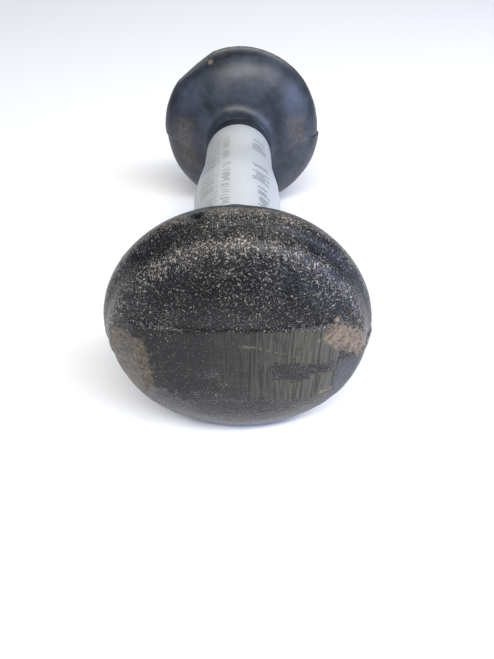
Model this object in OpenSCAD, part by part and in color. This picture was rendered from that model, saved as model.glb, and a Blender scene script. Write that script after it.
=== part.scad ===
// Round-head cast-iron dumbbell with a contoured grip and a paper stock label.
// The bar lies along Y with its middle at the origin, and +Z is up.

/* [Heads] */
// Diameter of a head at its rim
head_d = 64.5; // [56:0.5:76]
// Distance between the rim planes of the two heads
head_spacing = 124; // [116:1:150]
// How far the outer end face stands out from the rim plane
face_depth = 13.5; // [11:0.5:16]
// Diameter of the flat middle of the outer end face
face_flat_d = 24; // [16:1:28]
// Depth of the rounded back, from the rim plane in towards the grip
back_depth = 16; // [13:0.1:18]
// Diameter at which the rounded back runs into the fillet around the bar
fillet_start_d = 32.5; // [30:0.5:40]
// Mould shift of the front casting: how far its upper half lies towards -X of its lower half
front_shift = 0.4; // [0.1:0.1:1]
// Mould shift of the rear casting
rear_shift = 0.7; // [0.1:0.1:1]

/* [Gate patch] */
// Width of the ground patch where the ingate was cut off the end face
patch_w = 46; // [36:1:48]
// Height of the ground patch
patch_h = 23; // [16:1:28]
// Height of the patch above the cast face around it
patch_step = 0.4; // [0.2:0.1:0.8]
// Diameter of the flat middle of the patch
patch_flat_d = 30; // [24:1:32]

/* [Fettling] */
// Depth of the flat ground into the -X side of each rim, where the flash was cut off
side_flat_depth = 0.5; // [0.3:0.1:1]
// Turn of that flat about the bar, below the parting plane
side_flat_turn = 8; // [0:1:12]
// Depth of the flat on the underside of each rim that the dumbbell rests on
rest_flat_depth = 0.2; // [0.1:0.05:0.4]
// Depth of the dressed flat high on the rear head
dressed_flat_depth = 1.3; // [0.4:0.1:1.6]
// Turn of the dressed flat about the bar, from straight up towards -X
dressed_flat_turn = 36; // [20:1:60]

/* [Bar] */
// Diameter of the grip at the top of its swell
grip_d = 28; // [26:0.1:30]
// Diameter of the bar beside the heads
neck_d = 24.5; // [22:0.1:25.5]
// How deep the full-width neck sits in a head
neck_sink = 4; // [4:0.5:5]
// How far the bar sits off the middle of the heads, towards -X
bar_offset = 1.2; // [0:0.1:1.4]
// Length of the swell
swell_l = 50; // [36:1:60]
// Diameter of the bar's end inside a head
core_d = 19; // [16:0.5:20]
// How far the bar's end reaches past the rim plane
core_reach = 4; // [2:0.5:6]
// Width of an anchoring groove around the bar's end
groove_w = 4; // [3:0.5:5]
// Depth of an anchoring groove
groove_depth = 1.5; // [1:0.1:2]
// Depth of each of the two flats that keep a head from turning
key_flat_depth = 1.3; // [0.8:0.1:2]

/* [Label] */
// Length of the label along the bar
label_l = 60; // [40:1:64]
// Distance of the label's middle from the middle of the grip
label_shift = 6.5; // [0:0.5:8]
// Width of the label, which goes round the grip
label_w = 40; // [30:0.5:42]
// Thickness of the label with its glue
label_t = 0.15; // [0.1:0.01:0.3]
// Corner radius of the label
label_corner_r = 3; // [2:0.5:4]

/* [Hidden] */
$fn = 96;

head_r = head_d / 2;
neck_r = neck_d / 2;
rim_y = head_spacing / 2;
arc_steps = 14;
swell_steps = 24;
eps = 0.01;

// The rounded back is an ellipse, which a round fillet leaves along its tangent.
back_angle = acos(fillet_start_d / head_d);
back_slope = back_depth * cos(back_angle) / (head_r * sin(back_angle));
fillet_angle = atan2(1, back_slope);
fillet_r = (fillet_start_d / 2 - neck_r) / (1 - cos(fillet_angle));
hub_depth = back_depth * sin(back_angle) + fillet_r * sin(fillet_angle);
shoulder_y = rim_y - hub_depth;
core_start_y = shoulder_y + neck_sink;
bar_end_y = rim_y + core_reach;
groove_pitch = (bar_end_y - core_start_y) / 3;

// The label's width is measured round the middle of its thickness at the neck.
label_wrap = label_w / (neck_r + label_t / 2) * 180 / PI;
label_edge_z = -neck_r * sin(label_wrap / 2 - 90);
corner_steps = 6;

// Turns a solid of revolution about Z so that it lies along Y.
module along_bar() {
    rotate([-90, 0, 0]) children();
}

// Rounded face of a head as [radius, -depth] points, from the axis out to the rim.
function face_curve(flat_r, depth, rim_r) = [
    for (i = [arc_steps:-1:0])
        let (a = 90 * i / arc_steps)
        [flat_r + (rim_r - flat_r) * cos(a), -depth * sin(a)]
];

// Rounded back of a head, from the rim in to the start of the fillet.
function back_curve() = [
    for (i = [1:arc_steps])
        let (a = back_angle * i / arc_steps)
        [head_r * cos(a), back_depth * sin(a)]
];

// Fillet between the back and the bar, ending flush with the bar.
function fillet_curve() = [
    for (i = [arc_steps / 2 - 1:-1:0])
        let (a = fillet_angle * i / (arc_steps / 2))
        [neck_r + fillet_r * (1 - cos(a)), hub_depth - fillet_r * sin(a)]
];

// Solid casting of one head, rim plane at the origin and back towards +Z.
module head_blank() {
    rotate_extrude()
        polygon(concat([[0, -face_depth]], face_curve(face_flat_d / 2, face_depth, head_r),
            back_curve(), fillet_curve(), [[0, hub_depth]]));
}

// What is left of the ingate: a low pad that follows the end face.
module gate_patch() {
    intersection() {
        rotate_extrude()
            polygon(concat([[0, -face_depth - patch_step]],
                face_curve(patch_flat_d / 2, face_depth + patch_step, head_r - eps), [[0, 0]]));
        translate([-patch_w / 2, -patch_h / 2, -head_r]) cube([patch_w, patch_h, head_r]);
    }
}

// Cutter for a flat on the rim, turned about the bar from +X.
module rim_flat(depth, turn) {
    rotate([0, -turn, 0])
        translate([head_r - depth, -head_r, -head_r]) cube([head_r, head_d, head_d]);
}

// Upper and lower half of a casting, which meet off line on the parting plane.
module shifted_halves(shift) {
    for (side = [-1, 1])
        translate([-side * shift / 2, 0, 0]) intersection() {
            children();
            translate([-head_d, -head_d, (side - 1) * head_d]) cube(head_d * 2);
        }
}

// Head in the front position, cast round the end of the bar.
module head(shift) {
    difference() {
        translate([0, -rim_y, 0]) difference() {
            union() {
                shifted_halves(shift) along_bar() head_blank();
                along_bar() gate_patch();
            }
            rim_flat(side_flat_depth, 180 + side_flat_turn);
            rim_flat(rest_flat_depth, -90);
            children();
        }
        bar_body();
    }
}

// Radius of the grip at a distance from its middle.
function grip_r(y) =
    abs(y) >= swell_l / 2 ? neck_r
        : neck_r + (grip_d / 2 - neck_r) * pow(cos(180 * y / swell_l), 2);

// Swell of the grip as [radius, distance] points, standing out by a constant thickness.
function swell_curve(out) = [
    for (i = [-swell_steps / 2:swell_steps / 2])
        let (y = swell_l * i / swell_steps)
        [grip_r(y) + out, y]
];

// One grooved end of the bar, from the end of the neck to the tip at +Z.
function core_curve() = concat(
    [[neck_r, core_start_y], [core_d / 2, core_start_y]],
    [for (i = [1:2]) each let (y = core_start_y + groove_pitch * i) [
        [core_d / 2, y - groove_w / 2], [core_d / 2 - groove_depth, y - groove_w / 2 + groove_depth / 2],
        [core_d / 2 - groove_depth, y + groove_w / 2 - groove_depth / 2], [core_d / 2, y + groove_w / 2]]],
    [[core_d / 2, bar_end_y - 1], [core_d / 2 - 1, bar_end_y], [0, bar_end_y]]);

// Points in the opposite order.
function reversed(points) = [for (i = [len(points) - 1:-1:0]) points[i]];

// The same end at -Z.
function opposite(points) = [for (p = reversed(points)) [p[0], -p[1]]];

// Bar with its grooved ends, along Y.
module bar_body() {
    translate([-bar_offset, 0, 0]) difference() {
        along_bar() rotate_extrude()
            polygon(concat(opposite(core_curve()), swell_curve(0), core_curve()));
        for (end = [-1, 1], side = [-1, 1])
            translate([side * (core_d - key_flat_depth), end * (core_start_y + bar_end_y) / 2, 0])
                cube([core_d, bar_end_y - core_start_y, core_d * 2], center = true);
    }
}

// Contoured steel bar that both heads are cast on.
module handle_bar() {
    color("#2b2d30") bar_body();
}

// Iron head at -Y.
module front_head() {
    color("#1f2022") head(front_shift);
}

// Iron head at +Y, with a further flat dressed into its rim.
module rear_head() {
    color("#24262a") mirror([0, 1, 0])
        head(rear_shift) rim_flat(dressed_flat_depth, 90 + dressed_flat_turn);
}

// Trims a label corner to a quarter circle that starts at the origin and opens towards -X and +Y.
module corner_trim() {
    arc = [for (i = [0:corner_steps])
        let (a = 90 * i / corner_steps)
        [label_corner_r * (sin(a) - 1), label_corner_r * (1 - cos(a))]];
    rotate([90, 0, 90])
        linear_extrude(height = grip_d * 2, center = true)
            polygon(concat(arc, [[1, label_corner_r], [1, -1], [-label_corner_r, -1]]));
}

// Paper label wrapped over the top of the grip.
module label() {
    color("#cfd4d8") translate([-bar_offset, 0, 0]) difference() {
        along_bar() rotate_extrude(angle = label_wrap, start = 270 - label_wrap / 2) intersection() {
            polygon(concat([[neck_r, -shoulder_y]], swell_curve(0),
                [[neck_r, shoulder_y], [neck_r + label_t, shoulder_y]],
                reversed(swell_curve(label_t)), [[neck_r + label_t, -shoulder_y]]));
            translate([0, label_shift - label_l / 2]) square([grip_d, label_l]);
        }
        translate([0, label_shift, label_edge_z]) for (end = [0, 1])
            mirror([0, end, 0]) translate([0, label_l / 2, 0]) corner_trim();
    }
}

handle_bar();
front_head();
rear_head();
label();
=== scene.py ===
"""A small round-head dumbbell, dressed around its CAD frame.

Two cast-iron heads sit on a contoured bar, and a paper stock label is wrapped over the grip.
The bar lies along Y with its middle at the origin. The meshes are shaped in millimetres and
brought to metres when they are finished.
"""

import logging
import math
from dataclasses import dataclass
from enum import Enum
from functools import partial

import bmesh
import bpy
from mathutils import Euler, Matrix, Vector, noise

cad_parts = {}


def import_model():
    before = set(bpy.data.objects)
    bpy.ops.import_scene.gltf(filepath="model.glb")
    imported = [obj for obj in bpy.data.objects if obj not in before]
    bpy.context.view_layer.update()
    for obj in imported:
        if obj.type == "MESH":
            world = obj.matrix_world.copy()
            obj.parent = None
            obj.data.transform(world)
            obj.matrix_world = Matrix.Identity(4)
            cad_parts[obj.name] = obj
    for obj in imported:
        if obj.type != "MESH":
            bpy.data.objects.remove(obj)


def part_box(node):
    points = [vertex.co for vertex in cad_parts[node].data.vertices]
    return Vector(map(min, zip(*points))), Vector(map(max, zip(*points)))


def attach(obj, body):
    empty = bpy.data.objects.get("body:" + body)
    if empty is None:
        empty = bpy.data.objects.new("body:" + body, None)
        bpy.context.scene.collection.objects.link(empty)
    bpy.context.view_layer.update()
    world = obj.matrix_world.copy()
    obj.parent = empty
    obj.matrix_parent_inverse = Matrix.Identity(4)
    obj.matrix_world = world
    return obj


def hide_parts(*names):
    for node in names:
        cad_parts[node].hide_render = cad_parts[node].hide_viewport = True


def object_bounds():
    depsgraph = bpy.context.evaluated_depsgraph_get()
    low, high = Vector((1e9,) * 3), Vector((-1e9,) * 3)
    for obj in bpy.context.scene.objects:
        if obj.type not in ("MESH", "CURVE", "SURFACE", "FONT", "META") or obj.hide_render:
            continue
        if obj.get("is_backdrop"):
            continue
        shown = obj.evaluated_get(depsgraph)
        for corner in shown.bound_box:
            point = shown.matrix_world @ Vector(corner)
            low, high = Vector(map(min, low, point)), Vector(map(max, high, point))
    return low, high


LOG = logging.getLogger("dumbbell")
MM = 0.001
MIX_RESULT, ATTRIBUTE_VALUE, NOISE_COLOUR = 2, 2, 1
NO_VALUES = (None,) * 5  # inputs between the factor and the colours of a colour mix
RIDGE_DEPTH, RIDGE_WIDTH, DIP_DEPTH = 7.6, 1.5, 4.2

Socket = bpy.types.NodeSocket
Tree = bpy.types.NodeTree


class End(Enum):
    """The end of the bar that a head sits on: the sign is the direction along Y."""

    FRONT = -1
    REAR = 1


# ---------------------------------------------------------------------------------------------
# Helpers
# ---------------------------------------------------------------------------------------------


def srgb(code: str) -> tuple[float, float, float, float]:
    """Turn an sRGB hex value into a linear colour.

    Args:
        code: Six hex digits after a hash sign.

    Returns:
        Linear red, green, blue and an alpha of 1.
    """
    levels = [int(code[i : i + 2], 16) / 255 for i in (1, 3, 5)]
    linear = [c / 12.92 if c <= 0.04045 else ((c + 0.055) / 1.055) ** 2.4 for c in levels]
    return (*linear, 1.0)


def smooth_step(low: float, high: float, value: float) -> float:
    """Rise smoothly from 0 at low to 1 at high.

    Args:
        low: Value at which the rise starts.
        high: Value at which the rise ends.
        value: Value to place between them.

    Returns:
        A share from 0 to 1.
    """
    share = min(max((value - low) / (high - low), 0.0), 1.0)
    return share * share * (3 - 2 * share)


def add_node(tree: Tree, kind: str, inputs: dict | None = None, stops: list | None = None,
             **settings: object) -> bpy.types.Node:
    """Add one node with its settings and links.

    Args:
        tree: Tree that gets the node.
        kind: The node's type, without its ShaderNode prefix.
        inputs: Input names or numbers, each with a value or an output socket to link.
        stops: Positions and colours of a colour ramp, from low to high.
        settings: Properties of the node itself.

    Returns:
        The new node.
    """
    node = tree.nodes.new("ShaderNode" + kind)
    for name, value in settings.items():
        setattr(node, name, value)
    for key, value in (inputs or {}).items():
        if isinstance(value, Socket):
            tree.links.new(value, node.inputs[key])
        else:
            node.inputs[key].default_value = value
    if stops:
        ramp = node.color_ramp.elements
        ramp[0].position, ramp[0].color = stops[0]
        ramp[1].position, ramp[1].color = stops[-1]
        for position, colour in stops[1:-1]:
            ramp.new(position).color = colour
    return node


def output(tree: Tree, kind: str, *values: object, out: int = 0, **settings: object) -> Socket:
    """Add one node with its inputs filled in order, and give one of its outputs.

    Args:
        tree: Tree that gets the node.
        kind: The node's type, without its ShaderNode prefix.
        values: A value or a socket for each input in turn, or None to leave one alone.
        out: Number of the output.
        settings: Properties of the node itself, or the stops of a colour ramp.

    Returns:
        The output.
    """
    inputs = {i: value for i, value in enumerate(values) if value is not None}
    return add_node(tree, kind, inputs, **settings).outputs[out]


def new_material(name: str) -> tuple[bpy.types.Material, Tree, bpy.types.Node]:
    """Start a node material.

    Args:
        name: Name of the finish.

    Returns:
        The material, its tree and its shader node.
    """
    material = bpy.data.materials.new(name)
    material.use_nodes = True
    return material, material.node_tree, material.node_tree.nodes["Principled BSDF"]


def millimetres(tree: Tree, stretch: tuple = (1, 1, 1), turn: tuple = (0, 0, 0)) -> Socket:
    """Give the object coordinates in millimetres.

    Args:
        tree: Tree that gets the nodes.
        stretch: Factor along each axis after the change to millimetres.
        turn: Rotation of the pattern, in radians.

    Returns:
        The vector output.
    """
    place = add_node(tree, "TexCoord").outputs["Object"]
    scale = tuple(s / MM for s in stretch)
    mapping = add_node(tree, "Mapping", {"Vector": place, "Scale": scale, "Rotation": turn})
    return mapping.outputs["Vector"]


def finish_piece(bm: bmesh.types.BMesh, name: str, material: bpy.types.Material,
                 node: str) -> bpy.types.Object:
    """Turn a shape in millimetres into a smooth-shaded piece that stands for a CAD node.

    Args:
        bm: The shape, which is freed.
        name: Name of the piece.
        material: Its finish.
        node: CAD node that the piece replaces.

    Returns:
        The new object.
    """
    bmesh.ops.scale(bm, vec=(MM, MM, MM), verts=bm.verts)
    for face in bm.faces:
        face.smooth = True
    mesh = bpy.data.meshes.new(name)
    bm.to_mesh(mesh)
    bm.free()
    mesh.materials.append(material)
    piece = bpy.data.objects.new(name, mesh)
    bpy.context.scene.collection.objects.link(piece)
    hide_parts(node)
    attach(piece, "root")
    LOG.info("%s: %d faces", name, len(mesh.polygons))
    return piece


# ---------------------------------------------------------------------------------------------
# Finishes
# ---------------------------------------------------------------------------------------------


@dataclass(frozen=True)
class EnamelOnSandCasting:
    """Black enamel over sand-cast grey iron.

    The sand leaves a pebbled skin of grains about a third of a millimetre across. Handling rubs
    the paint off the grains, which gives grey-tan specks. Thick paint on the backs and low on
    the sides is smooth and hazy, and its blue-grey colour also carries a painted sheen. The
    ground places show dull iron: black paint is left in the strokes at the -X end of a patch,
    and the iron turns olive grey towards +X.
    """

    name: str = "black_enamel_on_sand_casting"
    thin_dark: str = "#050607"
    thin_light: str = "#0d0f13"
    # The thick-paint colours are the hazy paint's tone with a painted sheen mixed in.
    thick_dark_with_sheen: str = "#1f2329"
    thick_light_with_sheen: str = "#3a3f49"
    speck_dark: str = "#292624"
    speck_light: str = "#b3aa9b"
    ground_paint: str = "#0c0d0c"
    ground_groove: str = "#26271f"
    ground_iron: str = "#54534a"
    bare_dark: str = "#3f362f"
    bare_light: str = "#998873"
    grain_mm: float = 0.3
    scratch_mm: float = 0.24
    scratch_length_mm: float = 11.0
    scratch_slant: float = 0.2

    def edge_mask(self, tree: Tree, layer: str, softness: float, inset: float) -> Socket:
        """Turn a stored distance inside an area into a mask with a crumbly edge.

        Args:
            tree: Tree that gets the nodes.
            layer: Name of the stored distance, in millimetres.
            softness: Half the width of the edge, in millimetres.
            inset: How far inside the area the edge lies, in millimetres.

        Returns:
            The mask.
        """
        distance = add_node(tree, "Attribute", attribute_name=layer).outputs["Fac"]
        crumbs = add_node(tree, "TexNoise", {"Vector": millimetres(tree), "Scale": 1.6,
                                             "Detail": 4.0}).outputs["Fac"]
        edge = add_node(tree, "Math", {0: crumbs, 1: 2.0, 2: distance},
                        operation="MULTIPLY_ADD").outputs[0]
        return add_node(tree, "MapRange", {
            "Value": edge, "From Min": 1.0 + inset - softness,
            "From Max": 1.0 + inset + softness}).outputs["Result"]

    def scratches(self, tree: Tree) -> Socket:
        """Draw the grinder's strokes, which run up and down the patch and lean on the left.

        Args:
            tree: Tree that gets the nodes.

        Returns:
            Stroke height from 0 to 1.
        """
        along = 1 / self.scratch_length_mm
        layers = []
        for slant in (0.0, self.scratch_slant):
            strokes = []
            for width in (self.scratch_mm, 3.2 * self.scratch_mm):
                place = millimetres(tree, (1 / width, 0.1 / width, along), (0, slant, 0))
                strokes.append(add_node(tree, "TexNoise", {
                    "Vector": place, "Scale": 1.0, "Detail": 2.0,
                    "Roughness": 0.6}).outputs["Fac"])
            both = add_node(tree, "Mix", {0: 0.35, 2: strokes[0], 3: strokes[1]})
            layers.append(both.outputs[0])
        x = add_node(tree, "SeparateXYZ", {0: millimetres(tree)}).outputs["X"]
        left = add_node(tree, "MapRange", {"Value": x, "From Min": -1.0, "From Max": -8.0})
        both = add_node(tree, "Mix", {0: left.outputs["Result"], 2: layers[0], 3: layers[1]})
        return both.outputs[0]

    def material(self) -> bpy.types.Material:
        """Build the material."""
        material, tree, shader = new_material(self.name)
        add = partial(output, tree)
        mm = millimetres(tree)
        ground = self.edge_mask(tree, "ground_mm", 0.25, 0.3)
        bare = add("Math", self.edge_mask(tree, "bare_mm", 0.45, 0.0),
                   add("Attribute", out=ATTRIBUTE_VALUE, attribute_name="bare_tone"),
                   operation="MULTIPLY")
        skin = add("Attribute", out=ATTRIBUTE_VALUE, attribute_name="cast_skin")
        worn_and_painted_light = add("Attribute", out=ATTRIBUTE_VALUE, attribute_name="worn_and_painted_light")
        grains = add("TexNoise", mm, None, 1 / self.grain_mm, 2.0, 0.6)
        patches = add("TexNoise", mm, None, 0.22, 4.0, 0.5)
        shades = add("TexNoise", mm, None, 1.3, 2.0, 0.5)
        clouds = add("TexNoise", mm, None, 0.12, 5.0, 0.6)
        crumbs = add("TexNoise", mm, None, 1.1, 6.0, 0.75)

        # Thick paint is hazy and mottled, and its blue-grey also holds a painted sheen; thin paint
        # over the grains is near black.
        thin = add("ValToRGB", patches, stops=[
            (0.35, srgb(self.thin_dark)), (0.65, srgb(self.thin_light))])
        thick = add("ValToRGB", clouds, stops=[
            (0.36, srgb(self.thick_dark_with_sheen)), (0.62, srgb(self.thick_light_with_sheen))])
        colour = add("Mix", add("MapRange", skin, 0.15, 0.7), *NO_VALUES, thick, thin,
                     out=MIX_RESULT, data_type="RGBA")

        # Rubbed grain tops: more of them on the rim and the ridge, where they are partly wear and
        # partly a painted highlight that lightens those bands, and where patches are high. The
        # stored amount also keeps them out of the pits, which paints shade there.
        level = add("Math", patches, 0.2, grains, operation="MULTIPLY_ADD")
        level = add("Math", worn_and_painted_light, 0.2, level, operation="MULTIPLY_ADD")
        tops = add("Math", add("MapRange", level, 0.68, 0.77), add("MapRange", skin, 0.1, 1.0),
                   operation="MULTIPLY")
        speck = add("ValToRGB", shades, stops=[
            (0.36, srgb(self.speck_dark)), (0.68, srgb(self.speck_light))])

        # Ground iron: paint is left in the strokes, and less of it towards +X.
        strokes = self.scratches(tree)
        x = add("SeparateXYZ", mm)
        bright = add("MapRange", add("Math", patches, 16.0, x, operation="MULTIPLY_ADD"), -4.0, 21.0)
        cut = add("Mix", add("Math", bright, 1.5, operation="POWER"), *NO_VALUES,
                  srgb(self.ground_paint), srgb(self.ground_iron), out=MIX_RESULT,
                  data_type="RGBA")
        groove = add("Mix", bright, *NO_VALUES, srgb(self.thin_dark), srgb(self.ground_groove),
                     out=MIX_RESULT, data_type="RGBA")
        iron = add("Mix", add("MapRange", strokes, 0.54, 0.42), *NO_VALUES, cut, groove,
                   out=MIX_RESULT, data_type="RGBA")
        fewer = add("Math", 0.9, add("Math", bright, 0.5, operation="MULTIPLY"),
                    operation="SUBTRACT")
        flecks = add("Math", add("MapRange", grains, 0.62, 0.66), fewer, operation="MULTIPLY")
        iron = add("Mix", flecks, *NO_VALUES, iron, speck, out=MIX_RESULT, data_type="RGBA")
        tan = add("ValToRGB", crumbs, stops=[
            (0.36, srgb(self.bare_dark)), (0.6, srgb(self.bare_light))])
        for mask, over in ((tops, speck), (ground, iron), (bare, tan)):
            colour = add("Mix", mask, *NO_VALUES, colour, over, out=MIX_RESULT, data_type="RGBA")

        gloss = add("Math", add("MapRange", skin, 0.1, 0.6), -0.18, 0.42,
                    operation="MULTIPLY_ADD")
        for mask, change in ((tops, 0.2), (ground, 0.32), (bare, 0.25)):
            gloss = add("Math", mask, change, gloss, operation="MULTIPLY_ADD")

        rough = add("Math", skin, add("Math", 1.0, ground, operation="SUBTRACT"),
                    operation="MULTIPLY")
        bump = {}
        for strength, depth_mm, height in ((rough, 0.17, grains), (ground, 0.06, strokes),
                                           (bare, 0.12, crumbs), (0.35, 0.12, shades)):
            layer = add_node(tree, "Bump", {"Strength": strength, "Distance": depth_mm * MM,
                                            "Height": height, **bump})
            bump = {"Normal": layer.outputs["Normal"]}
        tree.links.new(colour, shader.inputs["Base Color"])
        tree.links.new(gloss, shader.inputs["Roughness"])
        tree.links.new(bump["Normal"], shader.inputs["Normal"])
        shader.inputs["Specular IOR Level"].default_value = 0.45
        return material


@dataclass(frozen=True)
class EnamelledBar:
    """Black enamel on a turned bar: smoother than the castings, with a faint orange peel, and a
    blue-grey colour that is partly a painted sheen.
    """

    name: str = "black_enamel_on_bar"
    # These blue-grey colours lift the black enamel with a painted sheen.
    dark: str = "#1b1e24"
    light: str = "#2e3239"

    def material(self) -> bpy.types.Material:
        """Build the material."""
        material, tree, shader = new_material(self.name)
        mm = millimetres(tree)
        clouds = add_node(tree, "TexNoise", {"Vector": mm, "Scale": 0.3, "Detail": 5.0})
        colour = add_node(tree, "ValToRGB", {0: clouds.outputs["Fac"]}, [
            (0.35, srgb(self.dark)), (0.65, srgb(self.light))])
        peel = add_node(tree, "TexNoise", {"Vector": mm, "Scale": 1.2, "Detail": 2.0})
        relief = add_node(tree, "Bump", {"Strength": 0.5, "Distance": 0.1 * MM,
                                         "Height": peel.outputs["Fac"]})
        rough = add_node(tree, "MapRange", {"Value": clouds.outputs["Fac"], "To Min": 0.3,
                                            "To Max": 0.5})
        tree.links.new(colour.outputs[0], shader.inputs["Base Color"])
        tree.links.new(rough.outputs["Result"], shader.inputs["Roughness"])
        tree.links.new(relief.outputs["Normal"], shader.inputs["Normal"])
        return material


@dataclass(frozen=True)
class MarkLine:
    """A run of made-up marks on the label, in millimetres on its face.

    start is measured from the label's front end along the bar, base from its middle towards
    +X, and the marks stand towards -X from the base.
    """

    start: float
    length: float
    base: float
    height: float
    pitch: float
    strength: float = 0.8


@dataclass(frozen=True)
class ThermalPaper:
    """Coated white label paper with grey thermal print: satin, faintly blue, no fibre to see.

    The print is stripes and meaningless strokes, so nothing on it can be read.
    """

    name: str = "thermal_label_paper"
    paper: str = "#b0b2b1"
    paper_shade: str = "#a9acab"
    ink: str = "#3a424c"
    bar_mm: float = 0.34
    ticks: int = 3
    tick_width: float = 0.6
    gaps: float = 0.3

    def stroke_group(self) -> Tree:
        """Make the node group that draws one line of strokes.

        Returns:
            A group with inputs for the place and the line's sizes and one mask output.
        """
        group = bpy.data.node_groups.new("stroke_line", "ShaderNodeTree")
        for label in ("Along", "Across", "Count", "Seed"):
            group.interface.new_socket(label, in_out="INPUT", socket_type="NodeSocketFloat")
        group.interface.new_socket("Mask", in_out="OUTPUT", socket_type="NodeSocketFloat")
        ends = group.nodes.new("NodeGroupInput"), group.nodes.new("NodeGroupOutput")
        along, across, count, seed = (ends[0].outputs[i] for i in range(4))
        add = partial(output, group)

        column = add("Math", along, float(self.ticks), operation="MULTIPLY")
        cell = add("Math", column, operation="FLOOR")
        chance = add("TexWhiteNoise", add("CombineXYZ", cell, seed), out=NOISE_COLOUR,
                     noise_dimensions="3D")
        parts = add_node(group, "SeparateColor", {0: chance}).outputs
        trims = []
        for part in (parts[1], parts[2]):
            over = add("Math", part, 0.5, operation="SUBTRACT")
            over = add("Math", over, 0.0, operation="MAXIMUM")
            trims.append(add("Math", over, 0.7, operation="MULTIPLY"))
        top = add("Math", 1.0, trims[1], operation="SUBTRACT")
        within = add("Math", column, operation="FRACT")
        mask = add("Math", parts[0], self.gaps, operation="GREATER_THAN")
        for value, limit, test in ((within, self.tick_width, "LESS_THAN"),
                                   (across, trims[0], "GREATER_THAN"),
                                   (across, top, "LESS_THAN"), (along, 0.0, "GREATER_THAN"),
                                   (along, count, "LESS_THAN")):
            mask = add("Math", mask, add("Math", value, limit, operation=test),
                       operation="MULTIPLY")
        group.links.new(mask, ends[1].inputs[0])
        return group

    def material(self, size_mm: tuple[float, float], lines: list[MarkLine],
                 bars: MarkLine) -> bpy.types.Material:
        """Build the material.

        Args:
            size_mm: Length along the bar and width round it.
            lines: Runs of strokes.
            bars: The striped block.

        Returns:
            The material.
        """
        material, tree, shader = new_material(self.name)
        add = partial(output, tree)
        parts = add_node(tree, "SeparateXYZ", {0: add("UVMap", uv_map="face")}).outputs
        along = add("Math", parts[0], size_mm[0], operation="MULTIPLY")
        across = add("Math", add("Math", parts[1], 0.5, operation="SUBTRACT"), size_mm[1],
                     operation="MULTIPLY")

        group = self.stroke_group()
        ink = 0.0
        for number, line in enumerate(lines):
            cell = add("Math", add("Math", along, line.start, operation="SUBTRACT"), line.pitch,
                       operation="DIVIDE")
            rise = add("Math", add("Math", line.base, across, operation="SUBTRACT"), line.height,
                       operation="DIVIDE")
            marks = add("Group", cell, rise, line.length / line.pitch, float(number),
                        node_tree=group)
            mark = add("Math", marks, line.strength, operation="MULTIPLY")
            ink = add("Math", ink, mark, operation="MAXIMUM")

        step = add("Math", add("Math", along, self.bar_mm, operation="DIVIDE"),
                   operation="FLOOR")
        chance = add_node(tree, "TexWhiteNoise", {"W": step}, noise_dimensions="1D")
        bar = add("Math", chance.outputs["Value"], 0.5, operation="GREATER_THAN")
        for value, low, high in ((along, bars.start, bars.start + bars.length),
                                 (across, bars.base - bars.height, bars.base)):
            inside = add("Math", value, (low + high) / 2, (high - low) / 2, operation="COMPARE")
            bar = add("Math", bar, inside, operation="MULTIPLY")
        bar = add("Math", bar, bars.strength, operation="MULTIPLY")
        ink = add("Math", ink, bar, operation="MAXIMUM")

        clouds = add("TexNoise", millimetres(tree), None, 0.12, 3.0)
        paper = add("ValToRGB", clouds, stops=[
            (0.3, srgb(self.paper_shade)), (0.7, srgb(self.paper))])
        colour = add("Mix", ink, *NO_VALUES, paper, srgb(self.ink), out=MIX_RESULT,
                     data_type="RGBA")
        creases = add("TexNoise", millimetres(tree), None, 0.35, 2.0)
        relief = add_node(tree, "Bump", {"Strength": 0.3, "Distance": 0.15 * MM,
                                         "Height": creases}).outputs["Normal"]
        tree.links.new(colour, shader.inputs["Base Color"])
        tree.links.new(relief, shader.inputs["Normal"])
        shader.inputs["Roughness"].default_value = 0.42
        return material


@dataclass(frozen=True)
class StudioPaper:
    """Seamless background paper: matt, with a barely visible tooth.

    A wedge that opens away from the front is white and the rest fades to pale grey, so that the
    iron's sides do not mirror white paper.
    """

    name: str = "seamless_paper"
    white: str = "#f2f2f1"
    grey: str = "#98999b"
    wedge_half_mm: float = 75.0
    wedge_front_mm: float = -125.0
    wedge_slope: float = 0.45
    fade_mm: float = 130.0

    def material(self) -> bpy.types.Material:
        """Build the material."""
        material, tree, shader = new_material(self.name)
        add = partial(output, tree)
        mm = millimetres(tree)
        place = add_node(tree, "SeparateXYZ", {0: mm}).outputs
        ahead = add("Math", self.wedge_front_mm, place["Y"], operation="SUBTRACT")
        half = add("Math", ahead, -self.wedge_slope, self.wedge_half_mm,
                   operation="MULTIPLY_ADD")
        beside = add("Math", add("Math", place["X"], operation="ABSOLUTE"), half,
                     operation="SUBTRACT")
        outside = add("MapRange", add("Math", ahead, beside, operation="MAXIMUM"), None,
                      self.fade_mm, interpolation_type="SMOOTHSTEP")
        colour = add("Mix", outside, *NO_VALUES, srgb(self.white), srgb(self.grey),
                     out=MIX_RESULT, data_type="RGBA")
        tooth = add("TexNoise", mm, None, 0.8, 3.0)
        relief = add_node(tree, "Bump", {"Strength": 0.1, "Distance": 0.05 * MM,
                                         "Height": tooth}).outputs["Normal"]
        tree.links.new(colour, shader.inputs["Base Color"])
        tree.links.new(relief, shader.inputs["Normal"])
        shader.inputs["Roughness"].default_value = 0.9
        return material


# ---------------------------------------------------------------------------------------------
# Pieces
# ---------------------------------------------------------------------------------------------


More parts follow.
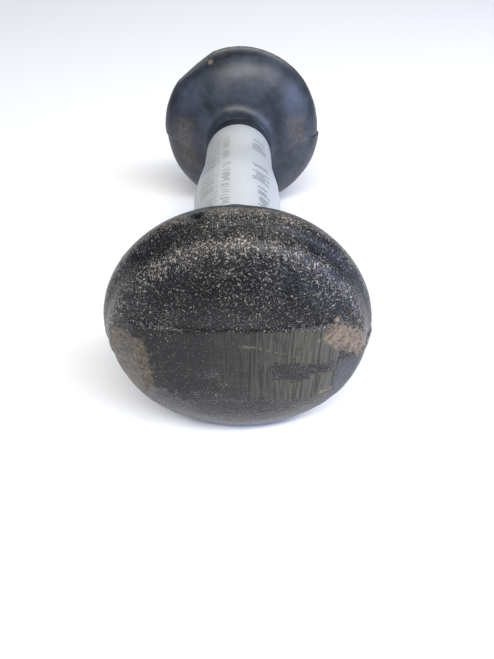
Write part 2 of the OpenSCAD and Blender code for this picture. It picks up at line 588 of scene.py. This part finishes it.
@dataclass
class BarForm:
    """Sizes of the bar and of its grip, in millimetres."""

    grip_radius: float
    shoulder_y: float
    end_y: float
    offset_x: float
    neck_radius: float = 12.25
    neck_sink: float = 4.0
    swell_length: float = 50.0
    core_radius: float = 9.5
    groove_width: float = 4.0
    groove_depth: float = 1.5
    key_flat_depth: float = 1.3
    grooves: int = 2

    @classmethod
    def from_frame(cls) -> "BarForm":
        """Read the bar's place and outer sizes from the CAD nodes."""
        low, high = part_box("handle_bar")
        return cls(grip_radius=high[2] / MM, end_y=high[1] / MM,
                   offset_x=(low[0] + high[0]) / 2 / MM,
                   shoulder_y=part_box("rear_head")[0][1] / MM)

    def grip_at(self, y: float) -> float:
        """Give the radius of the grip at a distance from its middle."""
        if abs(y) >= self.swell_length / 2:
            return self.neck_radius
        rise = math.cos(math.pi * y / self.swell_length) ** 2
        return self.neck_radius + (self.grip_radius - self.neck_radius) * rise

    @property
    def core_start(self) -> float:
        """Distance from the middle at which the full-width neck ends inside a head."""
        return self.shoulder_y + self.neck_sink

    def core_profile(self) -> list[tuple[float, float]]:
        """List radius and distance along one buried end, from the neck's end to the tip."""
        core, deep = self.core_radius, self.core_radius - self.groove_depth
        points = [(self.neck_radius, self.core_start), (core, self.core_start)]
        pitch = (self.end_y - self.core_start) / (self.grooves + 1)
        half, slope = self.groove_width / 2, self.groove_depth / 2
        for number in range(1, self.grooves + 1):
            y = self.core_start + pitch * number
            points += [(core, y - half), (deep, y - half + slope),
                       (deep, y + half - slope), (core, y + half)]
        return points + [(core, self.end_y - 1), (core - 1, self.end_y)]

    def key_flat(self, point: Vector) -> None:
        """Press a point of the buried end onto the flats that keep a head from turning."""
        limit = self.core_radius - self.key_flat_depth
        if abs(point.y) > self.core_start + 0.01 and abs(point.x) > limit:
            point.x = math.copysign(limit, point.x)


@dataclass
class ContouredBar:
    """The bar: a swelling grip between the heads and a grooved end inside each."""

    form: BarForm
    finish: EnamelledBar
    rings: int = 90
    steps: int = 128
    unevenness_mm: float = 0.12

    def mesh(self) -> bmesh.types.BMesh:
        """Spin the bar's profile round the Y axis."""
        form = self.form
        tip = form.core_profile()
        grip = [(form.grip_at(y), y) for y in (
            form.shoulder_y * (2 * i / self.rings - 1) for i in range(self.rings + 1))]
        front = [(r, -y) for r, y in reversed(tip)]
        outline = [(0.0, -form.end_y)] + front + grip + tip + [(0.0, form.end_y)]
        bm = bmesh.new()
        verts = [bm.verts.new((r, y, 0.0)) for r, y in outline]
        edges = [bm.edges.new(pair) for pair in zip(verts, verts[1:])]
        bmesh.ops.spin(bm, geom=verts + edges, cent=(0, 0, 0), axis=(0, 1, 0),
                       angle=2 * math.pi, steps=self.steps, use_merge=True)
        bmesh.ops.remove_doubles(bm, verts=bm.verts, dist=1e-4)
        bmesh.ops.recalc_face_normals(bm, faces=bm.faces)
        bm.normal_update()
        for vert in bm.verts:
            if abs(vert.co.y) < form.shoulder_y - 1:
                wave = noise.noise(vert.co / 9.0) * self.unevenness_mm
                vert.co += vert.normal * wave
            form.key_flat(vert.co)
        bmesh.ops.translate(bm, vec=(form.offset_x, 0, 0), verts=bm.verts)
        return bm

    def build(self) -> bpy.types.Object:
        """Make the piece."""
        piece = finish_piece(self.mesh(), "contoured_bar", self.finish.material(), "handle_bar")
        return piece


@dataclass(frozen=True)
class RimFlat:
    """A flat ground into a head's rim.

    turn is the direction of its middle round the bar, in degrees from +X towards +Z.
    """

    turn: float
    depth: float


@dataclass(frozen=True)
class Zone:
    """A rounded rectangle on a head's face, in millimetres along X and Z.

    turn is its slope in degrees, and tone is how strongly it shows where it is a bare place.
    """

    x: float
    z: float
    half_x: float
    half_z: float
    ragged: float = 0.5
    grain: float = 1.3
    turn: float = 0.0
    tone: float = 1.0

    def reach(self, x: float, z: float, seed: float) -> float:
        """Give how far inside the zone a point lies, negative outside it.

        Args:
            x: Place along X.
            z: Place along Z.
            seed: Number that varies the ragged edge.

        Returns:
            Distance in millimetres.
        """
        rough = self.ragged * noise.fractal(Vector((x, z, seed)) / self.grain, 0.9, 2.0, 3)
        cos, sin = math.cos(math.radians(self.turn)), math.sin(math.radians(self.turn))
        off_x, off_z = x - self.x, z - self.z
        over_x = abs(off_x * cos + off_z * sin) - self.half_x
        over_z = abs(off_z * cos - off_x * sin) - self.half_z
        if over_x > 0 and over_z > 0:
            return rough - math.hypot(over_x, over_z)
        return rough - max(over_x, over_z)


@dataclass(frozen=True)
class Pit:
    """A blow hole or a chip in the skin, in millimetres from the middle of the rim plane."""

    place: Vector
    radius: float
    depth: float
    chipped: bool = False

    def share(self, point: Vector) -> float:
        """Give how deep inside the pit a point lies, from 0 outside to 1 at its middle."""
        return math.exp(-((point - self.place).length / self.radius) ** 2)


@dataclass(frozen=True)
class FaceWork:
    """Where a head's end face was ground and where iron and flash show through the paint."""

    ground: Zone
    low_spots: tuple[Zone, ...]
    bare: tuple[Zone, ...]
    pits: tuple[Pit, ...]
    parting_slope: float = 0.0
    thin_behind_rim: Zone | None = None


FRONT_WORK = FaceWork(
    ground=Zone(0.0, 0.0, 23.0, 11.5, ragged=0.55),
    low_spots=(Zone(14.4, 0.0, 6.6, 1.4, 1.0), Zone(12.0, -1.8, 4.0, 2.0, 1.0),
               Zone(-10.5, -11.4, 11.0, 3.2, 2.0), Zone(3.0, -12.4, 7.0, 1.4, 1.6),
               Zone(-6.5, -1.8, 2.0, 0.9, 2.0)),
    bare=(Zone(-24.4, -2.3, 4.4, 10.3, 0.9, tone=0.5),
          Zone(24.6, 5.9, 6.6, 2.4, 1.4, 1.0, turn=-43.0, tone=0.85),
          Zone(21.2, -9.3, 1.9, 0.8, 1.4, tone=0.7),
          Zone(7.0, 5.8, 8.0, -0.25, 1.3, 0.8, turn=-15.0, tone=0.8),
          Zone(-3.0, -5.5, 1.2, 0.2, 1.3, 0.8, tone=0.6)),
    pits=(Pit(Vector((-8.4, -0.4, 31.2)), 1.5, 1.1),),
    parting_slope=0.033,
)
REAR_WORK = FaceWork(
    ground=Zone(0.0, 0.0, 23.0, 11.5, ragged=0.7),
    low_spots=(Zone(-9.0, 4.0, 5.0, 2.2, 1.4),),
    bare=(Zone(23.5, -2.0, 2.6, 7.0, 1.4, 2.0, tone=0.8),),
    pits=(Pit(Vector((-11.6, 5.2, 28.4)), 0.8, 0.2, chipped=True),),
    thin_behind_rim=Zone(0.2, 4.4, 6.5, 1.3, 1.0),
)


@dataclass
class CastHead:
    """One round iron head, cast round the end of the bar.

    The face side is a disc of concentric rings, drawn from a square grid so that its cells
    keep an even size. The back, the fillet and the socket follow ring by ring.
    """

    end: End
    bar: BarForm
    rim_radius: float
    rim_y: float
    flats: list[RimFlat]
    work: FaceWork
    mould_shift: float
    face_depth: float = 13.5
    face_flat_radius: float = 12.0
    back_depth: float = 16.0
    fillet_start_radius: float = 16.25
    patch_step: float = 0.4
    patch_flat_radius: float = 15.0
    grid: int = 248
    back_rings: int = 34
    fillet_rings: int = 8

    @classmethod
    def from_frame(cls, end: End, bar: BarForm, node: str) -> "CastHead":
        """Read a head's outer sizes from its CAD node.

        Args:
            end: The end of the bar that it sits on.
            bar: The bar's sizes.
            node: Name of the CAD node.

        Returns:
            The head.
        """
        low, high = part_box(node)
        outer = max(abs(low[1]), abs(high[1])) / MM
        flats = [RimFlat(188.0, 0.5), RimFlat(-90.0, 0.2)]
        if end is End.REAR:
            flats.append(RimFlat(126.0, 1.3))
        return cls(end=end, bar=bar, flats=flats, rim_radius=high[2] / MM,
                   work=FRONT_WORK if end is End.FRONT else REAR_WORK,
                   mould_shift=0.4 if end is End.FRONT else 0.7,
                   rim_y=outer - cls.face_depth - cls.patch_step)

    def dome(self, radius: float, flat: float, depth: float) -> float:
        """Give how far a face with a flat middle and elliptical shoulders stands out."""
        if radius <= flat:
            return depth
        share = (radius - flat) / (self.rim_radius - flat)
        return depth * math.sqrt(max(1 - share * share, 0.0))

    def ring_radii(self) -> list[float]:
        """Space the face's rings evenly along its profile.

        Returns:
            A radius for each ring, from the middle to the rim.
        """
        samples = 600
        lengths, radii = [0.0], [0.0]
        last = (0.0, self.face_depth)
        for i in range(1, samples + 1):
            angle = math.pi / 2 * (1 - i / samples)
            shoulder = self.rim_radius - self.face_flat_radius
            spot = (self.face_flat_radius + shoulder * math.cos(angle),
                    self.face_depth * math.sin(angle))
            lengths.append(lengths[-1] + math.dist(last, spot))
            radii.append(spot[0])
            last = spot
        rings, result, k = self.grid // 2, [], 0
        for ring in range(rings + 1):
            wanted = lengths[-1] * ring / rings
            while k < samples - 1 and lengths[k + 1] < wanted:
                k += 1
            share = (wanted - lengths[k]) / (lengths[k + 1] - lengths[k])
            result.append(radii[k] + (radii[k + 1] - radii[k]) * share)
        result[-1] = self.rim_radius
        return result

    def ground_reach(self, x: float, z: float) -> float:
        """Give how far inside the ground area a point of the face lies."""
        reach = self.work.ground.reach(x, z, 7.0)
        return min([reach] + [-spot.reach(x, z, 3.0) for spot in self.work.low_spots])

    def face(self, bm: bmesh.types.BMesh) -> None:
        """Lay the grid over the face as concentric rings."""
        bmesh.ops.create_grid(bm, x_segments=self.grid, y_segments=self.grid, size=1.0)
        radii = self.ring_radii()
        rings = self.grid // 2
        for vert in bm.verts:
            a, b = vert.co.x, vert.co.y
            size = max(abs(a), abs(b))
            radius = radii[round(size * rings)]
            if size < 1e-6:
                angle = 0.0
            elif abs(a) >= abs(b):
                angle = math.pi / 4 * b / a + (0.0 if a > 0 else math.pi)
            else:
                angle = math.pi / 2 - math.pi / 4 * a / b + (0.0 if b > 0 else math.pi)
            x, z = radius * math.cos(angle), radius * math.sin(angle)
            cast = self.dome(radius, self.face_flat_radius, self.face_depth)
            pad = self.dome(radius, self.patch_flat_radius, self.face_depth + self.patch_step)
            share = smooth_step(-0.25, 0.25, self.work.ground.reach(x, z, 7.0))
            vert.co = (x, -(cast + (pad - cast) * share), z)

    def back_profile(self) -> list[tuple[float, float]]:
        """List radius and distance from the rim plane, from behind the rim into the socket."""
        bar = self.bar
        limit = math.acos(self.fillet_start_radius / self.rim_radius)
        slope = self.back_depth * math.cos(limit) / (self.rim_radius * math.sin(limit))
        turn = math.atan2(1, slope)
        fillet = (self.fillet_start_radius - bar.neck_radius) / (1 - math.cos(turn))
        hub = self.back_depth * math.sin(limit) + fillet * math.sin(turn)
        points = []
        for i in range(1, self.back_rings + 1):
            angle = limit * i / self.back_rings
            points.append((self.rim_radius * math.cos(angle), self.back_depth * math.sin(angle)))
        for i in range(self.fillet_rings - 1, -1, -1):
            angle = turn * i / self.fillet_rings
            points.append((bar.neck_radius + fillet * (1 - math.cos(angle)),
                           hub - fillet * math.sin(angle)))
        return points + [(r, hub - (y - bar.shoulder_y)) for r, y in bar.core_profile()]

    def back(self, bm: bmesh.types.BMesh) -> None:
        """Pull the rim in over the back, round the fillet and down into the socket."""
        edges = [edge for edge in bm.edges if edge.is_boundary]
        radius, depth = self.rim_radius, 0.0
        for next_radius, next_depth in self.back_profile():
            made = bmesh.ops.extrude_edge_only(bm, edges=edges)["geom"]
            edges = [item for item in made if isinstance(item, bmesh.types.BMEdge)]
            verts = [item for item in made if isinstance(item, bmesh.types.BMVert)]
            scale = next_radius / radius
            bmesh.ops.scale(bm, vec=(scale, 1, scale), verts=verts)
            bmesh.ops.translate(bm, vec=(0, next_depth - depth, 0), verts=verts)
            radius, depth = next_radius, next_depth
        ring = list({vert for edge in edges for vert in edge.verts})
        bmesh.ops.pointmerge(bm, verts=ring, merge_co=(0, depth, 0))

    def relief(self, point: Vector, skin: float, ground: float) -> float:
        """Give how far the casting's skin stands off its smooth form.

        Args:
            point: Place on the head, in millimetres.
            skin: Share of the sand-cast roughness at this place.
            ground: Share of grinding at this place.

        Returns:
            Height in millimetres.
        """
        place = point + Vector((0, 50.0 * self.end.value, 0))
        depth = -point.y
        lip = (0.5 * math.exp(-((depth - RIDGE_DEPTH) / RIDGE_WIDTH) ** 2)
               - 0.42 * math.exp(-((depth - DIP_DEPTH) / RIDGE_WIDTH) ** 2))
        pits = sum(pit.depth * pit.share(point) for pit in self.work.pits)
        swell = 0.16 * noise.noise(place / 13.0)
        lumps = 0.08 * noise.noise(place / 3.8)
        pebbles = 0.06 * noise.fractal(place / 0.75, 0.8, 2.0, 2)
        rough = (1 - 0.92 * ground) * skin
        lumps *= (1 - 0.6 * ground) * (0.4 + 0.6 * skin)
        return swell + lumps + pebbles * rough + lip - pits

    def wear_and_painted_light(self, point: Vector) -> float:
        """Give how much the paint is rubbed at a place, with painted light mixed in: most on the rim
        and on the ridge, where it is partly a painted highlight on those bands, less towards the
        bottom, and least in the pits, where it paints shade.
        """
        depth = -point.y
        rim = smooth_step(4.0, 0.5, abs(depth + 0.5))
        ridge = math.exp(-((depth - RIDGE_DEPTH) / RIDGE_WIDTH) ** 2)
        low = smooth_step(-8.0, -16.0, point.z)
        pits = sum(pit.share(point) for pit in self.work.pits)
        # Rim and ridge terms add real wear and painted highlight bands; the pit term paints shade
        # into the pits.
        return 0.5 * rim * (1 - low) + 0.35 * ridge - 0.22 * low - 1.5 * pits

    def mesh(self) -> bmesh.types.BMesh:
        """Shape the whole head."""
        bm = bmesh.new()
        self.face(bm)
        self.back(bm)
        bm.normal_update()
        layers = {name: bm.verts.layers.float.new(name)
                  for name in ("ground_mm", "bare_mm", "bare_tone", "cast_skin", "worn_and_painted_light")}
        neck = self.bar.neck_radius
        for vert in bm.verts:
            x, y, z = vert.co
            radius = math.hypot(x, z)
            on_face = y < -0.5
            buried = y > 0 and radius < neck + 0.02
            skin = 0.0 if buried else smooth_step(4.0, -2.0, y)
            if self.work.thin_behind_rim and z > 0:
                thin = smooth_step(-0.6, 1.4, self.work.thin_behind_rim.reach(x, y, 5.0))
                skin = max(skin, 0.42 * thin)
            reach = self.ground_reach(x, z) if on_face else -20.0
            vert[layers["ground_mm"]] = reach
            vert[layers["bare_mm"]], vert[layers["bare_tone"]] = self.bare_place(x, y, z)
            vert[layers["cast_skin"]] = 0.1 + 0.9 * skin * self.paint_share(x, z)
            vert[layers["worn_and_painted_light"]] = self.wear_and_painted_light(vert.co)
            if not buried:
                ground = smooth_step(-0.3, 0.3, reach)
                fade = smooth_step(neck, neck + 2.0, radius)
                vert.co += vert.normal * self.relief(vert.co, skin, ground) * fade
                soft = 0.3 + 2.4 * smooth_step(30.0, 22.0, radius)
                upper = smooth_step(-soft, soft, z - self.work.parting_slope * x)
                vert.co.x -= self.mould_shift / 2 * (2 * upper - 1)
                self.dress(vert.co)
            vert.co.y -= self.rim_y
            if buried:
                self.bar.key_flat(vert.co)
            if y > 0:
                vert.co.x += self.bar.offset_x * smooth_step(26.0, neck + 0.5, radius)
        if self.end is End.REAR:
            bmesh.ops.scale(bm, vec=(1, -1, 1), verts=bm.verts)
            bmesh.ops.reverse_faces(bm, faces=bm.faces)
        return bm

    def paint_share(self, x: float, z: float) -> float:
        """Give how much of the sand texture the paint leaves: it lies thick low on the sides."""
        thick = smooth_step(19.0, 24.0, x - 0.5 * max(z, 0)) * smooth_step(3.0, -3.0, z)
        low = smooth_step(-24.0, -28.0, z)
        return 1 - max(0.85 * thick, 0.35 * low)

    def bare_place(self, x: float, y: float, z: float) -> tuple[float, float]:
        """Find how far inside the thinly painted places a point lies, and how they show.

        Args:
            x: Place along X.
            y: Place along Y, negative on the face.
            z: Place along Z.

        Returns:
            Distance in millimetres and strength from 0 to 1.
        """
        radius = math.hypot(x, z)
        if y >= 0:
            wander = 1.5 * noise.noise(Vector((x / 4.0, y / 4.0, z / 4.0)))
            tall = 9.0 - abs(z + 1.0) if x < 0 else 4.5 - abs(z - 4.0)
            place = Vector((x, y, z))
            for pit in self.work.pits:
                if pit.chipped and (place - pit.place).length < 2.0:
                    return pit.radius - (place - pit.place).length, 1.0
            return 0.3 * (min(2.2 - abs(radius - 23.5), tall) + wander) + 0.25, 0.22
        reach, zone = max(((zone.reach(x, z, 11.0), zone) for zone in self.work.bare),
                          key=lambda pair: pair[0])
        strip = smooth_step(28.8, 28.0, radius) if zone.tone < 0.65 else 1.0
        core = math.exp(-((radius - 25.0) / 1.5) ** 2) if zone.half_z > 9 else 0.0
        return reach, zone.tone * strip * (1 - 0.5 * core)

    def dress(self, point: Vector) -> None:
        """Press a point that stands out of a ground flat back onto it."""
        for flat in self.flats:
            turn = math.radians(flat.turn)
            outward = Vector((math.cos(turn), 0, math.sin(turn)))
            excess = point.dot(outward) - (self.rim_radius - flat.depth)
            if excess > 0:
                point -= outward * excess

    def build(self, material: bpy.types.Material) -> bpy.types.Object:
        """Make the piece.

        Args:
            material: The heads' finish.

        Returns:
            The head's object.
        """
        name = self.end.name.lower()
        piece = finish_piece(self.mesh(), f"cast_head_{name}", material, f"{name}_head")
        return piece


@dataclass
class StockLabel:
    """The paper label, wrapped over the top of the grip."""

    bar: BarForm
    finish: ThermalPaper
    front_y: float
    rear_y: float
    width: float = 40.0
    thickness: float = 0.12
    corner_radius: float = 3.0
    cell_mm: float = 0.5

    @classmethod
    def from_frame(cls, bar: BarForm, finish: ThermalPaper) -> "StockLabel":
        """Read where the label starts and ends from its CAD node."""
        low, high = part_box("label")
        return cls(bar=bar, finish=finish, front_y=low[1] / MM, rear_y=high[1] / MM)

    @property
    def length(self) -> float:
        """Length along the bar."""
        return self.rear_y - self.front_y

    def rounded(self, along: float, across: float) -> tuple[float, float]:
        """Round the corners of a rectangle centred on the origin, keeping its cells."""
        half = (self.length / 2 - self.corner_radius, self.width / 2 - self.corner_radius)
        p = (abs(along) - half[0]) / self.corner_radius
        q = (abs(across) - half[1]) / self.corner_radius
        if p <= 0 or q <= 0:
            return along, across
        reach, angle = max(p, q), math.pi / 4 * (q / p if p >= q else 2 - p / q)
        return (math.copysign(half[0] + self.corner_radius * reach * math.cos(angle), along),
                math.copysign(half[1] + self.corner_radius * reach * math.sin(angle), across))

    def lift(self, along: float, across: float) -> float:
        """Give how far the paper stands off the bar: a little at its long edges."""
        edge = smooth_step(self.width / 2 - 4.0, self.width / 2, abs(across))
        wave = 0.5 + 0.5 * noise.noise(Vector((along / 9.0, across / 20.0, 3.0)))
        return 0.03 + 0.35 * edge * wave

    def mesh(self) -> bmesh.types.BMesh:
        """Wrap a rounded grid round the grip and thicken it."""
        bm = bmesh.new()
        columns, rows = round(self.length / self.cell_mm), round(self.width / self.cell_mm)
        bmesh.ops.create_grid(bm, x_segments=columns, y_segments=rows, size=1.0)
        uv = bm.loops.layers.uv.new("face")
        flat = {}
        for vert in bm.verts:
            flat[vert] = self.rounded(vert.co.x * self.length / 2, vert.co.y * self.width / 2)
        for face in bm.faces:
            for loop in face.loops:
                along, across = flat[loop.vert]
                loop[uv].uv = (along / self.length + 0.5, across / self.width + 0.5)
        middle = (self.front_y + self.rear_y) / 2
        for vert, (along, across) in flat.items():
            y = middle + along
            radius = self.bar.grip_at(y) + self.lift(along, across)
            angle = across / self.bar.grip_at(y)
            vert.co = (self.bar.offset_x + radius * math.sin(angle), y, radius * math.cos(angle))
        bmesh.ops.recalc_face_normals(bm, faces=bm.faces)
        if max(bm.faces, key=lambda f: f.calc_center_median().z).normal.z < 0:
            bmesh.ops.reverse_faces(bm, faces=bm.faces)
        bmesh.ops.solidify(bm, geom=bm.faces, thickness=-self.thickness)
        return bm

    def build(self) -> bpy.types.Object:
        """Make the piece."""
        bars = MarkLine(start=1.5, length=38.0, base=-7.0, height=6.5, pitch=1.0, strength=0.35)
        lines = [
            MarkLine(start=1.5, length=38.0, base=-5.6, height=1.2, pitch=1.2, strength=0.3),
            MarkLine(start=1.0, length=7.5, base=-1.8, height=2.8, pitch=1.5, strength=0.7),
            MarkLine(start=9.5, length=15.0, base=-1.9, height=2.8, pitch=1.5, strength=0.65),
            MarkLine(start=27.0, length=9.0, base=-2.2, height=2.8, pitch=1.5, strength=0.6),
            MarkLine(start=39.0, length=10.5, base=-2.6, height=2.8, pitch=1.5, strength=0.5),
            MarkLine(start=41.0, length=10.5, base=-6.2, height=2.2, pitch=1.5, strength=0.25),
            MarkLine(start=1.0, length=12.0, base=11.6, height=4.8, pitch=3.0, strength=0.75),
            MarkLine(start=15.5, length=10.5, base=11.4, height=6.4, pitch=3.5, strength=0.65),
            MarkLine(start=38.0, length=14.0, base=11.0, height=6.0, pitch=4.6, strength=0.6),
        ]
        material = self.finish.material((self.length, self.width), lines, bars)
        piece = finish_piece(self.mesh(), "stock_label", material, "label")
        return piece


# ---------------------------------------------------------------------------------------------
# Studio
# ---------------------------------------------------------------------------------------------


@dataclass
class Studio:
    """Floor, lights and camera."""

    floor_z: float
    floor_size: float = 4.0
    camera_place: tuple = (0.002, -0.15242, 0.08313)
    camera_pitch: float = 42.86
    camera_yaw: float = -0.06
    camera_roll: float = 0.12
    camera_lens: float = 27.29

    def floor(self) -> None:
        """Lay the paper floor that the rims rest on."""
        bm = bmesh.new()
        bmesh.ops.create_grid(bm, x_segments=8, y_segments=8, size=self.floor_size / 2)
        bmesh.ops.translate(bm, vec=(0, 0, self.floor_z), verts=bm.verts)
        mesh = bpy.data.meshes.new("floor")
        bm.to_mesh(mesh)
        bm.free()
        mesh.materials.append(StudioPaper().material())
        floor = bpy.data.objects.new("floor", mesh)
        bpy.context.scene.collection.objects.link(floor)
        floor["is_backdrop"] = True

    def softbox(self, name: str, place: tuple, size: tuple, power: float, tint: str) -> None:
        """Hang a soft light that faces the object.

        Args:
            name: Name of the light.
            place: Where it hangs, in metres.
            size: Width and height in metres.
            power: Power in watts.
            tint: Colour as sRGB hex.
        """
        light = bpy.data.lights.new(name, "AREA")
        light.shape, light.size, light.size_y = "RECTANGLE", *size
        light.energy, light.color = power, srgb(tint)[:3]
        lamp = bpy.data.objects.new(name, light)
        lamp.location = place
        lamp.rotation_euler = (-Vector(place)).to_track_quat("-Z", "Y").to_euler()
        bpy.context.scene.collection.objects.link(lamp)

    def lights(self) -> None:
        """Hang the softboxes and set the pale surroundings."""
        self.softbox("front_overhead", (0.1, -0.42, 0.72), (0.95, 0.15), 9.5, "#fffdf8")
        self.softbox("right_window", (0.9, -0.36, 0.37), (0.7, 0.5), 10.0, "#bccdff")
        self.softbox("left_window", (-0.9, -0.36, 0.37), (0.5, 0.4), 2.2, "#bccdff")
        self.softbox("back_overhead", (0.0, 0.9, 0.6), (1.4, 0.3), 4.4, "#fdfdff")
        world = bpy.data.worlds.new("pale_room")
        world.use_nodes = True
        sky = world.node_tree.nodes["Background"]
        sky.inputs["Color"].default_value = srgb("#f4f5f7")
        sky.inputs["Strength"].default_value = 0.12
        bpy.context.scene.world = world

    def camera(self) -> None:
        """Place the camera in front of and above the front head."""
        data = bpy.data.cameras.new("camera")
        data.lens, data.sensor_width, data.sensor_fit = self.camera_lens, 36.0, "AUTO"
        data.clip_start = 0.005
        camera = bpy.data.objects.new("camera", data)
        camera.location = self.camera_place
        aim = Euler((math.radians(90 - self.camera_pitch), 0, math.radians(self.camera_yaw)))
        roll = Matrix.Rotation(math.radians(self.camera_roll), 3, "Z")
        camera.rotation_euler = (aim.to_matrix() @ roll).to_euler()
        bpy.context.scene.collection.objects.link(camera)
        bpy.context.scene.camera = camera

    def build(self) -> None:
        """Set up the studio."""
        self.camera()
        self.floor()
        self.lights()
        bpy.context.scene.view_settings.view_transform = "Standard"


def main() -> None:
    """Load the frame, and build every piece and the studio."""
    logging.basicConfig(level=logging.INFO, format="%(name)s %(message)s")
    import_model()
    cad_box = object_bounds()
    bar = BarForm.from_frame()
    Studio(floor_z=cad_box[0][2]).build()
    ContouredBar(bar, EnamelledBar()).build()
    casting = EnamelOnSandCasting().material()
    for end in End:
        CastHead.from_frame(end, bar, f"{end.name.lower()}_head").build(casting)
    StockLabel.from_frame(bar, ThermalPaper()).build()


if __name__ == "__main__":
    main()
